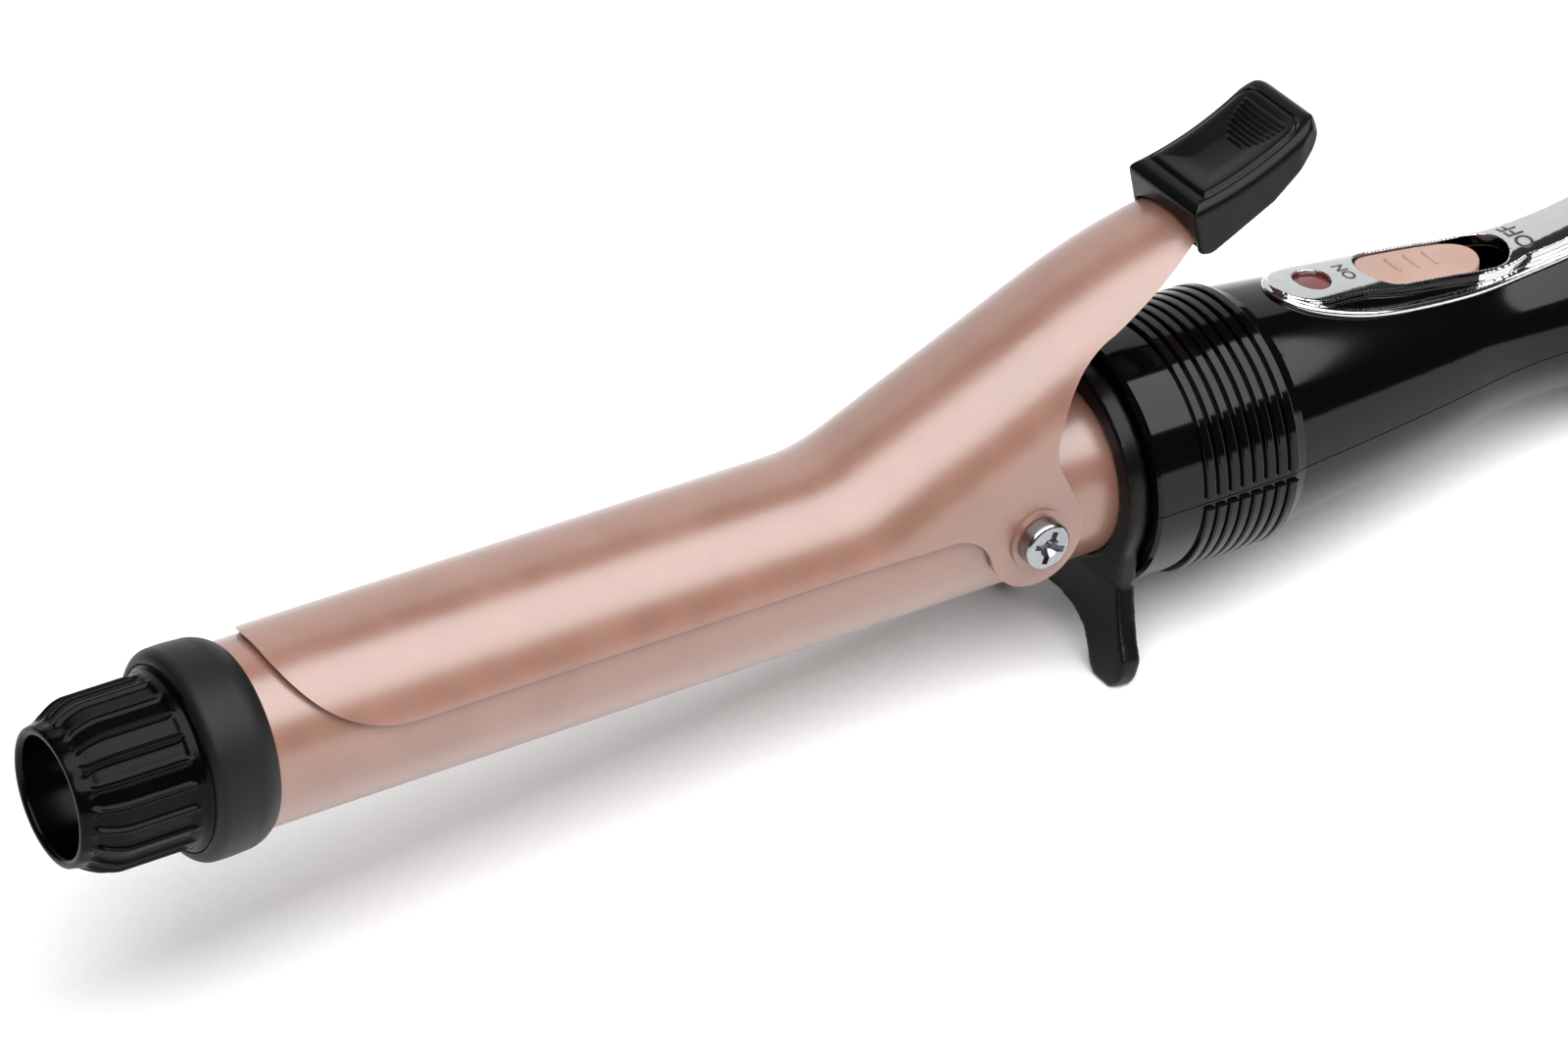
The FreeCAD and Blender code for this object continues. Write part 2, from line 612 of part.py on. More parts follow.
def make_handle():
    """Two moulded half shells with raised ribs, split along the sides."""
    wall = S.handle_wall
    for label, flip in (("handle_upper", False), ("handle_lower", True)):
        body = new_body(label)
        outline = [(S.handle_front, S.handle_radius - 0.6),
                   (S.handle_front + 0.6, S.handle_radius), *shell_outline(0.0)[:-1]]
        outline += [(S.tail_x, S.tail_radius, 3.2), (S.handle_end, S.tail_radius - 3.0),
                    (S.handle_end, S.inlet_shank + 0.1), (S.tail_x, S.inlet_shank + 0.1)]
        outline += reverse_run(shell_outline(-wall))
        outline += [(S.handle_front, S.handle_radius - wall)]
        turn(body, draw(new_sketch(body, "XY_Plane"), outline), angle=180.0, reverse=flip)
        doc.recompute()
        margin = 2.8
        tilt = FreeCAD.Placement(V(), FreeCAD.Rotation(V(1, 0, 0), -margin if flip else margin))
        first = S.rib_first
        rib = draw(new_sketch(body, "XY_Plane", tilt), [
            (first, S.handle_radius - 0.8), (first, S.rib_radius - 0.3, 0.6),
            (first + 0.35, S.rib_radius), (first + S.rib_width - 0.35, S.rib_radius, 0.6),
            (first + S.rib_width, S.rib_radius - 0.3),
            (first + S.rib_width, S.handle_radius - 0.8)])
        one = turn(body, rib, angle=180.0 - 2 * margin, reverse=flip)
        repeat_along(body, one, S.rib_count, S.rib_pitch)
        doc.recompute()
        seam = draw(new_sketch(body, "XZ_Plane"), rectangle(15.0, -0.1, 170.0, 0.1))
        pocket(body, seam, both_ways=True)
        doc.recompute()
        side = -1 if flip else 1
        for x, seat in SCREW_SEATS:
            from_seam = FreeCAD.Placement(V(0, 0, side * 0.1), FreeCAD.Rotation())
            post = draw_circle(new_sketch(body, "XY_Plane", from_seam), x, 0, 3.4)
            pad(body, post, seat, reverse=flip)
            doc.recompute()
            pilot = draw_circle(new_sketch(body, "XY_Plane", from_seam), x, 0, 1.45)
            pocket(body, pilot, None if flip else 9.0, reverse=not flip)
            doc.recompute()
        if flip:
            for x, seat in SCREW_SEATS:
                at_seat = FreeCAD.Placement(V(0, 0, -seat), FreeCAD.Rotation())
                pocket(body, draw_circle(new_sketch(body, "XY_Plane", at_seat), x, 0, 2.7))
        else:
            window = new_sketch(body, "XY_Plane")
            draw(window, rectangle(S.slot_front - 1, -6.6, S.slot_rear + 1, 6.6))
            draw_circle(window, S.lens_x, 0, S.lens_radius + 0.4)
            pocket(body, window, reverse=True)


def make_handle_inside():
    """What the shells hold: barrel holder, screws, switch, board and wires."""
    ring_body("barrel_holder", S.handle_front + 0.4, S.barrel_rear, S.barrel_radius + 0.05,
              S.handle_radius - S.handle_wall - 0.1)
    screws = []
    for x, seat in SCREW_SEATS:
        shank = place(primitive("Cylinder", Radius=1.4, Height=seat + 8.0), x, 0, -seat)
        head = place(primitive("Cylinder", Radius=2.5, Height=1.4), x, 0, -seat - 1.4)
        screw = doc.addObject("Part::MultiFuse", "handle_screw")
        screw.Shapes = [shank, head]
        screws.append(screw)
    group("handle_screws", screws)
    block_body("terminal_board", 66.0, 122.0, -9.0, 9.0, 3.2, 4.8)
    block_body("switch_body", 86.0, 106.0, -5.5, 5.5, 4.9, 11.4)
    lamp = place(primitive("Cylinder", Radius=2.6, Height=12.0), S.lens_x, 0, 5.0)
    group("indicator_lamp", [lamp])
    group("cord_wires", [round_bar(0.9, 100.0, 136.0, y, -1.0) for y in (-5.6, 5.6)])


def mirrored(half):
    """Whole outline from its half on the -Y side, which runs from the nose to the end."""
    back = []
    for i in range(len(half) - 1, 0, -1):
        x, y = half[i][0], half[i][1]
        back.append((x, -as_size(y), *half[i - 1][2:]))
    return list(half[:-1]) + back


def plate(outline, bottom, top, name):
    """Upright slab with the given outline seen from above."""
    sketch = doc.addObject("Sketcher::SketchObject", f"{name}_outline")
    sketch.Placement = FreeCAD.Placement(V(0, 0, bottom), FreeCAD.Rotation())
    draw(sketch, outline)
    slab = doc.addObject("Part::Extrusion", name)
    slab.Base = sketch
    slab.DirMode = "Normal"
    slab.Solid = True
    slab.LengthFwd = top - bottom
    return slab


def turned_solid(outline, name):
    """Closed outline turned round the X axis."""
    sketch = doc.addObject("Sketcher::SketchObject", f"{name}_outline")
    draw(sketch, outline)
    solid = doc.addObject("Part::Revolution", name)
    solid.Source = sketch
    solid.Axis = V(1, 0, 0)
    solid.Angle = 360
    solid.Solid = True
    return solid


def stadium(x0, x1, width):
    """Slot outline with round ends along X."""
    half = as_size(width) / 2
    turn_radius = -1 * half - 0.0001
    return [(x0 + half, -half), (x1 - half, -half, turn_radius), (x1 - half, half),
            (x0 + half, half, turn_radius)]


def trim_crown(drop, name):
    """Solid under the trim's crowned top, lowered by drop."""
    front = S.trim_nose - 1.0
    rear = S.trim_end + 1.0
    return turned_solid([
        (front, 6.0), (rear, 6.0), (rear, 20.9 - drop, 92.0), (96.0, 18.9 - drop, -900.0),
        (front, 23.1 - drop)], name)


def make_switch():
    """Bright trim set in the upper shell, with the lamp's lens and the sliding knob."""
    under = reverse_run(shell_outline(0.03)[1:])
    rim = plate(mirrored([
        (S.trim_nose, 0, -9.0), (63.6, -6.2, -26.0), (79.0, -9.5, -75.0), (97.0, -8.5),
        (109.0, -6.9, 60.0), (117.0, -6.1), (S.trim_end - 6.1, -6.1, -6.11),
        (S.trim_end, 0)]), 4.0, 30.0, "rim_slab")
    flange = join("Common", None, turned_solid(shell_outline(0.5)[1:] + under, "trim_skin"), rim)
    raised = plate(mirrored([
        (S.trim_nose + 0.7, 0, -7.0), (64.6, -5.8, -11.0), (69.0, -6.6, 60.0), (77.0, -6.3, -60.0),
        (90.0, -7.0), (104.0, -6.9, -40.0), (113.0, -5.4), (S.trim_end - 7.0, -5.0, -5.01),
        (S.trim_end - 2.0, 0)]), 4.0, 30.0, "raised_slab")
    seat = turned_solid([
        (40.0, 0), (170.0, 0), (170.0, 18.0), *under, (40.0, 22.0)], "shell_seat")
    plateau = join("Cut", None, join("Common", None, trim_crown(0.0, "crown"), raised), seat)
    whole = join("Fuse", None, flange, plateau)
    slot = plate(stadium(S.slot_front, S.slot_rear, S.slot_width), 2.0, 32.0, "slot_slab")
    lamp_hole = place(primitive("Cylinder", Radius=S.lens_radius, Height=30.0), S.lens_x, 0, 2.0)
    join("Cut", "switch_trim", join("Cut", None, whole, slot), lamp_hole)

    front = S.slot_front + S.knob_gap
    outline = stadium(front, front + S.knob_length, S.slot_width - S.knob_gap * 2)
    blank = plate(outline, 11.8, 30.0, "knob_slab")
    join("Common", "slide_knob", trim_crown(0.5, "knob_crown"), blank)
    pillar = place(primitive("Cylinder", Radius=S.lens_radius - 0.1, Height=18.0),
                   S.lens_x, 0, 17.4)
    join("Common", "indicator_lens", trim_crown(0.9, "lens_crown"), pillar)


def make_cord_inlet():
    """Gland that turns in the handle's tail, its slip rings and the fixed brush contacts."""
    body = new_body("cord_gland")
    bore = S.inlet_bore
    flange = S.inlet_flange
    inside = S.tail_x - 0.3
    outline = [
        (141.0, bore), (141.0, 5.0), (inside - 4.6, 5.0), (inside - 4.6, flange),
        (inside, flange), (inside, S.inlet_shank), (S.handle_end + 0.35, S.inlet_shank),
        (S.handle_end + 0.35, flange, 1.2), (S.handle_end + 1.4, flange + 0.8),
        (S.handle_end + 3.4, flange + 0.4, -18.0), (S.inlet_end, 6.2),
        (S.inlet_end, bore)]
    turn(body, draw(new_sketch(body, "XY_Plane"), outline))
    rings = []
    for x in (143.0, 148.0):
        ring = round_bar(5.9, x, x + 2.5)
        hole = round_bar(5.03, x - 1.0, x + 3.5)
        rings.append(join("Cut", None, ring, hole))
    group("slip_rings", rings)
    strips = []
    for y, reach in ((4.6, 145.6), (-4.6, 150.6)):
        sketch = doc.addObject("Sketcher::SketchObject", "brush_outline")
        sketch.Placement = FreeCAD.Placement(V(0, y + 1.0, 0), FreeCAD.Rotation(V(1, 0, 0), 90))
        draw(sketch, [(116.0, 4.85), (120.8, 4.85), (123.0, 5.1), (reach, 5.1), (reach, 5.6),
                      (122.8, 5.6), (120.6, 5.35), (116.0, 5.35)])
        strip = doc.addObject("Part::Extrusion", "brush_strip")
        strip.Base = sketch
        strip.DirMode = "Normal"
        strip.Solid = True
        strip.LengthFwd = 2.0
        strips.append(strip)
    group("brush_contacts", strips)


# ---------------------------------------------------------------- whole iron

def lowest(shape, angle):
    """Height of a shape's lowest point once the iron is tilted by angle."""
    points = shape.tessellate(0.02)[0]
    return min(p.z * math.cos(angle) - p.x * math.sin(angle) for p in points)


def level_feet():
    """Cut the feet flat along the plane that touches the handle's tail."""
    angle = math.radians(S.rest_angle.value)
    tail = [node for node in NODES if node.Label == "handle_lower"][0]
    height = lowest(tail.Shape, angle)
    stand = [node for node in NODES if node.Label == "stand"][0]
    ends = [(x, (height + x * math.sin(angle)) / math.cos(angle)) for x in (-20.0, 50.0)]
    below = draw(new_sketch(stand, "XZ_Plane"), [*ends, (50.0, -60.0), (-20.0, -60.0)])
    pocket(stand, below, both_ways=True)
    doc.recompute()


def stand_up():
    """Tilt the whole iron and bring the middle of its footprint to the origin."""
    tilt = FreeCAD.Rotation(V(0, 1, 0), S.rest_angle.value)
    box = FreeCAD.BoundBox()
    for node in NODES:
        turned = node.Shape.copy()
        turned.Placement = FreeCAD.Placement(V(), tilt).multiply(turned.Placement)
        box.add(turned.optimalBoundingBox(False, False))
    shift = V(-box.Center.x, -box.Center.y, -box.ZMin)
    for node in NODES:
        node.Placement = FreeCAD.Placement(shift, tilt).multiply(node.Placement)
    doc.recompute()
    return shift


def check_all():
    """Stop if any object failed or any piece is empty or broken."""
    failed = [item.Label for item in doc.Objects
              if "Invalid" in item.State or "Error" in item.State]
    for node in NODES:
        if node.Shape.isNull() or not node.Shape.isValid() or not node.Shape.Solids:
            failed.append(f"{node.Label} (shape)")
    if failed:
        raise RuntimeError("failed: " + ", ".join(failed))


make_barrel()
make_cool_tip()
make_tip_ring()
make_tip_fixing()
make_heater()
make_pivot()
make_clip()
make_thumb_rest()
make_clip_spring()
make_stand()
make_handle()
make_handle_inside()
make_switch()
make_cord_inlet()
doc.recompute()
level_feet()
check_all()
moved = stand_up()
check_all()
print(f"moved by {moved.x:.4f} {moved.y:.4f} {moved.z:.4f}, tilted {S.rest_angle.value} degrees")

os.makedirs("parts", exist_ok=True)
for node in NODES:
    node.Shape.exportStep(f"parts/{node.Label}.step")
    print(f"{node.Label}: {len(node.Shape.Solids)} solid(s), {node.Shape.Volume:.1f} mm3")
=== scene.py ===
"""Looks of a curling iron: its finishes, its moulded details, the floor, the lights and the camera.

The shapes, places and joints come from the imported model. Everything is in metres.
"""
import bmesh
import bpy
import json
import math
import numpy as np
from mathutils import Matrix, Vector
from mathutils.bvhtree import BVHTree


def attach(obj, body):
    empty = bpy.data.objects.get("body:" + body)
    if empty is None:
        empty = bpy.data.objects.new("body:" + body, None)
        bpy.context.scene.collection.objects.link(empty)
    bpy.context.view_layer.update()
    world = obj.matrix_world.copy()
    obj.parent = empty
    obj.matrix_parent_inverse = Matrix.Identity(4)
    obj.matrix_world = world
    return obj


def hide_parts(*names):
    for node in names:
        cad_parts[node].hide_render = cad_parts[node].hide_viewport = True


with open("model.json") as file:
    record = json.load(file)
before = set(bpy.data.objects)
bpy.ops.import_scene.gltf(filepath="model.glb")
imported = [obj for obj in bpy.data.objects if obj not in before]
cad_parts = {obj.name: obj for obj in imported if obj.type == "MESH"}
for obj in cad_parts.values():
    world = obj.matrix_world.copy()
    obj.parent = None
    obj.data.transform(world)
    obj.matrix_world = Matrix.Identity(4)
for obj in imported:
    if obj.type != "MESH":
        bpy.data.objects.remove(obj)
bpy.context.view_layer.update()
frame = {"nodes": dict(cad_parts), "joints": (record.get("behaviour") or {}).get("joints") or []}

# ---------------------------------------------------------------- how the iron lies
# The iron is posed tilted, with its feet and tail on the floor. Its own axes start at the clip's
# pivot: X runs along the barrel to the cord inlet, Y is the pivot's line and Z points to the
# lever.
clip_joint = next(j for j in frame["joints"] if j["name"] == "clip_hinge")
slide_joint = next(j for j in frame["joints"] if j["name"] == "switch_slide")
lean = math.asin(-slide_joint["axis"][2])
IRON = Matrix.Translation(clip_joint["pos_m"]) @ Matrix.Rotation(lean, 4, "Y")
MM = 0.001


def on_iron(x, y, z):
    """Point given in millimetres on the iron's own axes."""
    return IRON @ (Vector((x, y, z)) * MM)


# ---------------------------------------------------------------- heated barrel and clip
# Drawn aluminium tube and a pressed steel clip, both sprayed with a satin rose-gold ceramic
# coating that is baked on. The clip's half tube lies on the barrel and lifts off it.
def linear(hex_colour):
    """Linear RGBA of an sRGB hex colour."""
    channels = [int(hex_colour[i:i + 2], 16) / 255 for i in (1, 3, 5)]
    return (*[c / 12.92 if c <= 0.04045 else ((c + 0.055) / 1.055) ** 2.4 for c in channels], 1)


def add_node(material, kind, inputs=None, **settings):
    """Add a node. inputs gives each socket a number, a colour or another node's output."""
    node = material.node_tree.nodes.new(kind)
    for name, value in settings.items():
        setattr(node, name, value)
    for socket, value in (inputs or {}).items():
        if isinstance(value, bpy.types.NodeSocket):
            material.node_tree.links.new(value, node.inputs[socket])
        else:
            node.inputs[socket].default_value = value
    return node


def new_finish(name, dark, light, grain_mm, rough, bump_mm, **sockets):
    """A finish whose colour and roughness vary with a grain of a real size.

    rough is the lowest and highest roughness, bump_mm the height of the grain.
    """
    material = bpy.data.materials.new(name)
    material.use_nodes = True
    material.node_tree.nodes.clear()
    place = add_node(material, "ShaderNodeTexCoord").outputs["Object"]
    grain = add_node(material, "ShaderNodeTexNoise", {
        "Vector": place, "Scale": 1 / (grain_mm * MM), "Detail": 3.0, "Roughness": 0.6})
    cloud = add_node(material, "ShaderNodeTexNoise", {
        "Vector": place, "Scale": 1 / (grain_mm * 40 * MM), "Detail": 2.0})
    mixed = add_node(material, "ShaderNodeMix", {
        "Factor": 0.5, "A": grain.outputs["Fac"], "B": cloud.outputs["Fac"]})
    ramp = add_node(material, "ShaderNodeValToRGB", {"Fac": mixed.outputs["Result"]})
    ramp.color_ramp.elements[0].position = 0.35
    ramp.color_ramp.elements[0].color = linear(dark)
    ramp.color_ramp.elements[1].position = 0.65
    ramp.color_ramp.elements[1].color = linear(light)
    polish = add_node(material, "ShaderNodeMapRange", {
        "Value": cloud.outputs["Fac"], "From Min": 0.3, "From Max": 0.7,
        "To Min": rough[0], "To Max": rough[1]})
    relief = add_node(material, "ShaderNodeBump", {
        "Height": grain.outputs["Fac"], "Distance": bump_mm * MM, "Strength": 1.0})
    shader = add_node(material, "ShaderNodeBsdfPrincipled", {
        "Base Color": ramp.outputs["Color"], "Roughness": polish.outputs["Result"],
        "Normal": relief.outputs["Normal"], **sockets})
    add_node(material, "ShaderNodeOutputMaterial", {"Surface": shader.outputs["BSDF"]})
    return material


def paint(finish, *nodes):
    """Give carried-over pieces their finish."""
    for name in nodes:
        for slot in frame["nodes"][name].material_slots:
            slot.material = finish


# Pearl coating: a warm matte base under a pale, broad sheen with a faint sparkle of flakes.
rose_coating = new_finish("rose_ceramic_coating", "#7C5748", "#8A6354", 0.25, (0.30, 0.35),
                          0.004, **{"Specular IOR Level": 1.0, "Coat Weight": 0.5,
                                    "Coat Roughness": 0.27})
paint(rose_coating, "barrel_tube", "clip")

# ---------------------------------------------------------------- cool tip
# Open end cap moulded in glossy black heat-proof plastic. Shallow flutes with arched fronts run
# along its side between a round lip and a plain base ring, so that fingers can turn it.
TIP_FRONT, TIP_BASE = -180.5, -158.5
FLUTES = 22
# The flutes' depth and rear end, and the radius under which the cap's inside starts.
FLUTE_DEPTH, FLUTE_END, INSIDE_RADIUS = 0.85, TIP_BASE - 1.6, 11.9


def add_object(name, data):
    """New object in the scene that shows the given data."""
    item = bpy.data.objects.new(name, data)
    bpy.context.scene.collection.objects.link(item)
    return item


def spin_mesh(name, profile, around, shape=None):
    """Closed solid turned round the iron's axis from (x, radius) pairs in millimetres.

    shape may change a point's radius by where it is along and round the axis.
    """
    draft = bmesh.new()
    rings = []
    for x, radius in profile:
        ring = []
        for step in range(around):
            turn = 2 * math.pi * step / around
            r = radius + (shape(x, radius, turn) if shape else 0.0)
            ring.append(draft.verts.new(on_iron(x, r * math.cos(turn), r * math.sin(turn))))
        rings.append(ring)
    for i, ring in enumerate(rings):
        follower = rings[(i + 1) % len(rings)]
        for step in range(around):
            after = (step + 1) % around
            draft.faces.new((ring[step], ring[after], follower[after], follower[step]))
    bmesh.ops.recalc_face_normals(draft, faces=draft.faces)
    mesh = bpy.data.meshes.new(name)
    draft.to_mesh(mesh)
    draft.free()
    mesh.shade_smooth()
    return add_object(name, mesh)


def smooth_step(low, high, value):
    """Smooth rise from 0 at low to 1 at high."""
    t = np.clip((value - low) / (high - low), 0.0, 1.0)
    return t * t * (3 - 2 * t)


def rounded_line(points, step):
    """Points every step millimetres along straight runs."""
    line = []
    for (x0, r0), (x1, r1) in zip(points, points[1:]):
        count = max(1, int(math.hypot(x1 - x0, r1 - r0) / step))
        line += [(x0 + (x1 - x0) * i / count, r0 + (r1 - r0) * i / count)
                 for i in range(count)]
    return line + [points[-1]]


def flute_cut(x, radius, turn):
    """Depth of the flutes, none inside the cap, on its lip and on its base ring."""
    if radius < INSIDE_RADIUS or x > FLUTE_END:
        return 0.0
    across = abs(((turn * FLUTES / (2 * math.pi)) % 1.0) - 0.5) * 2
    hollow = 1 - across ** 5
    start = TIP_FRONT + 1.6 + 1.4 * across ** 3
    along = smooth_step(start, start + 1.8, x) * smooth_step(FLUTE_END, TIP_BASE - 3.2, x)
    return -FLUTE_DEPTH * float(hollow * along)


lip = [(TIP_FRONT + 1.0 - 1.0 * math.sin(a), 11.3 - 1.0 * math.cos(a))
       for a in np.linspace(0, math.pi * 0.72, 9)]
shoulder = [(TIP_FRONT + 1.7 + 6.6 * t, 12.1 + 2.8 * math.sin(t * math.pi / 2))
            for t in np.linspace(0.05, 1, 22)]
base = [(TIP_BASE - 1.5, 14.9), (TIP_BASE - 0.9, 15.0), (TIP_BASE - 0.5, 15.3),
        (TIP_BASE - 0.2, 15.8), (TIP_BASE, 16.0), (TIP_BASE, 14.9), (TIP_BASE + 4.1, 14.9),
        (TIP_BASE + 4.1, 13.4), (-163.8, 13.4), (-163.8, 1.7), (-166.0, 1.7), (-166.0, 10.3)]
side = rounded_line([shoulder[-1], base[0]], 0.35)[1:-1]
cool_tip = spin_mesh("cool_tip_moulding", lip + shoulder + side + base, FLUTES * 24, flute_cut)
# Polished black moulding: mirror-like, with the faint waviness of moulded plastic.
gloss_black = new_finish("gloss_black_abs", "#030303", "#050506", 2.0, (0.07, 0.10), 0.002,
                         **{"Specular IOR Level": 0.22})
# Heat-proof grade: as black, but its gloss is a little broken by glass fibre.
tip_black = new_finish("heat_proof_black_pbt", "#020202", "#040404", 0.6, (0.20, 0.26), 0.003,
                       **{"Specular IOR Level": 0.1})
cool_tip.data.materials.append(tip_black)
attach(cool_tip, "iron")
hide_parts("cool_tip")

# ---------------------------------------------------------------- tip ring
# Fat ring of dark grey heat-proof plastic over the joint of tip and barrel, left matte from a
# grained mould so that it does not slip in the fingers.
matte_grey = new_finish("matte_grey_nylon", "#0E0F10", "#151617", 0.35, (0.42, 0.5), 0.01,
                        **{"Specular IOR Level": 0.2})
paint(matte_grey, "tip_ring")

# ---------------------------------------------------------------- screws, bushes and springs
# Zinc plated steel screws with cross recesses hold the clip; brass bushes carry it and drawn
# wire springs close it. The slotted tip screw pulls the cool tip against a steel bridge.
# Bright zinc plate: almost a mirror, slightly clouded.
zinc_steel = new_finish("zinc_plated_steel", "#8C8E91", "#A6A8AB", 0.5, (0.16, 0.26), 0.004,
                        Metallic=1.0)
paint(zinc_steel, "pivot_screws", "tip_screw", "tip_anchor", "pivot_nuts", "handle_screws",
      "thermal_fuse")
# Drawn wire: darker and duller than the plated screws.
spring_steel = new_finish("drawn_spring_steel", "#6E6F73", "#85868A", 0.3, (0.28, 0.4), 0.004,
                          Metallic=1.0)
paint(spring_steel, "clip_spring")
# Turned brass: warm, with fine turning marks.
brass = new_finish("turned_brass", "#B4924E", "#CBA75F", 0.3, (0.25, 0.38), 0.004, Metallic=1.0)
paint(brass, "pivot_bushes", "slip_rings", "brush_contacts")

# ---------------------------------------------------------------- heater inside the barrel
# A wrapped ceramic heating element lies between two extruded aluminium sinks, with a thermal
# fuse and a sensor beside it. Sleeved leads run back to the board in the handle.
paint(new_finish("extruded_aluminium", "#A9AAAC", "#BFC0C2", 0.4, (0.35, 0.5), 0.01,
                 Metallic=1.0), "heater_sink_upper", "heater_sink_lower")
paint(new_finish("sintered_ceramic", "#D9D5C8", "#E8E5DA", 0.3, (0.5, 0.65), 0.008),
      "heating_element", "heat_sensor")
paint(new_finish("amber_polyimide_film", "#A4621B", "#BF7A28", 1.0, (0.12, 0.2), 0.003),
      "insulating_film")
paint(new_finish("silicone_sleeve", "#D5D3C8", "#E4E2D8", 0.3, (0.5, 0.6), 0.006),
      "heater_leads", "cord_wires")
paint(new_finish("pressed_paper_laminate", "#6E5426", "#8A6C36", 0.8, (0.5, 0.6), 0.01),
      "terminal_board")

# ---------------------------------------------------------------- thumb rest
# Satin black shoe moulded over the lever's end. Its top is dished for the thumb inside a thin
# groove, with a leaf-shaped patch of fine cross ribs towards the back.
def finished_mesh(item):
    """Plain mesh of an object as its modifiers leave it."""
    return bpy.data.meshes.new_from_object(
        item.evaluated_get(bpy.context.evaluated_depsgraph_get()))


def soften(name, nodes, voxel_mm, rounds, more=()):
    """One smooth mesh round the given pieces, with their sharp edges melted to a radius."""
    draft = bmesh.new()
    for solid in [frame["nodes"][node].data for node in nodes] + list(more):
        draft.from_mesh(solid)
    bmesh.ops.remove_doubles(draft, verts=draft.verts, dist=1e-6)
    mesh = bpy.data.meshes.new(name)
    draft.to_mesh(mesh)
    draft.free()
    blank = add_object(name, mesh)
    remesh = blank.modifiers.new("even_mesh", "REMESH")
    remesh.mode = "VOXEL"
    remesh.voxel_size = voxel_mm * MM
    melt = blank.modifiers.new("melt_edges", "SMOOTH")
    melt.factor = 0.5
    melt.iterations = rounds
    result = finished_mesh(blank)
    blank.modifiers.clear()
    blank.data = result
    result.materials.clear()
    result.shade_smooth()
    return blank


def sculpt(piece, change):
    """Move a mesh's points along one direction: change takes points and normals in millimetres
    on the iron's own axes and returns how far each point moves."""
    mesh = piece.data
    count = len(mesh.vertices)
    points = np.zeros(count * 3)
    mesh.vertices.foreach_get("co", points)
    normals = np.zeros(count * 3)
    mesh.vertex_normals.foreach_get("vector", normals)
    turn = np.array(IRON.to_3x3())
    local = (points.reshape(-1, 3) - np.array(IRON.translation)) @ turn / MM
    moved = local + change(local, normals.reshape(-1, 3) @ turn)
    back = moved * MM @ turn.T + np.array(IRON.translation)
    mesh.vertices.foreach_set("co", back.ravel())
    mesh.update()


# The thumb rest's arched top: its front and rear ends in x and z, the arch's radius, and the
# directions along it and out of it.
THUMB_FRONT, THUMB_REAR, THUMB_ARCH = (36.2, 51.2), (59.4, 61.1), 58.0
THUMB_ALONG = np.array([21.2, 0.0, 9.1]) / math.hypot(21.2, 9.1)
THUMB_UP = np.array([-THUMB_ALONG[2], 0.0, THUMB_ALONG[0]])


def along_thumb(points):
    """How far points lie behind the front end of the thumb rest's top."""
    return (points - np.array([THUMB_FRONT[0], 0.0, THUMB_FRONT[1]])) @ THUMB_ALONG


def thumb_edges(points, normals):
    """Large radii on the rear corners and along the top edges of the thumb rest."""
    half, corner, edge, rear = 10.1, 5.1, 2.3, 21.5
    outward = np.sign(points[:, 1])[:, None] * np.array([0.0, 1.0, 0.0])
    back = np.maximum(along_thumb(points) - rear, 0)
    wide = np.maximum(np.abs(points[:, 1]) - (half - corner), 0)
    reach = np.maximum(np.hypot(back, wide), 1e-9)
    pull = (back / reach)[:, None] * THUMB_ALONG + (wide / reach)[:, None] * outward
    over = np.where(wide > 0, np.maximum(reach - corner, 0), 0)
    move = -over[:, None] * pull
    start, end = np.array(THUMB_FRONT), np.array(THUMB_REAR)
    chord = end - start
    span = np.hypot(*chord)
    centre = (start + end) / 2 + np.array([-chord[1], chord[0]]) / span * math.sqrt(
        THUMB_ARCH ** 2 - (span / 2) ** 2)
    depth = np.hypot(points[:, 0] - centre[0], points[:, 2] - centre[1]) - THUMB_ARCH
    near = np.maximum(reach - over - corner + edge, 0)
    high = np.maximum(edge - depth, 0)
    far = np.maximum(np.hypot(near, high), 1e-9)
    share = np.where((near > 0) & (high > 0) & (far > edge), 1 - edge / far, 0) * wide / reach
    return move - (share * near)[:, None] * pull - (share * high)[:, None] * THUMB_UP


def thumb_surface(points, normals):
    """Groove, dish and ribs on the top of the thumb rest."""
    u = along_thumb(points)
    v = points[:, 1]
    middle, half_length, half_width = 12.5, 11.0, 8.2
    rear_corner, front_corner = 3.8, 0.7
    corner = np.where(u > middle, rear_corner, front_corner)
    du = np.abs(u - middle) - (half_length - corner)
    dv = np.abs(v) - (half_width - corner)
    outside = np.hypot(np.maximum(du, 0), np.maximum(dv, 0)) - corner
    edge = outside + np.minimum(np.maximum(du, dv), 0)
    groove_depth, groove_width = 0.4, 0.16
    groove = groove_depth * np.exp(-(edge / groove_width) ** 2)
    dish_half, dish_run = 8.4, 5.5
    dish = (1 - (v / dish_half) ** 2).clip(0) * smooth_step(0.0, dish_run, -edge)
    rib_count, first_rib, rib_height, rib_width = 8, 14.0, 0.42, 0.26
    leaf_rear, leaf_length, leaf_half, fade = 21.6, 8.2, 5.7, 0.3
    ribs = np.zeros_like(u)
    for k in range(rib_count):
        place = first_rib + k
        reach = leaf_half * math.sqrt(max(0.02, 1 - ((leaf_rear - place) / leaf_length) ** 2))
        ridge = rib_height * np.exp(-((u - place) / rib_width) ** 2)
        ribs += ridge * smooth_step(reach + fade, reach - fade, np.abs(v))
    facing = smooth_step(0.35, 0.7, normals @ THUMB_UP)
    depth = (ribs - groove - dish) * facing
    return depth[:, None] * THUMB_UP


thumb_shoe = soften("thumb_rest_moulding", ["thumb_rest", "thumb_pad"], 0.21, 48)
sculpt(thumb_shoe, thumb_edges)
sculpt(thumb_shoe, thumb_surface)
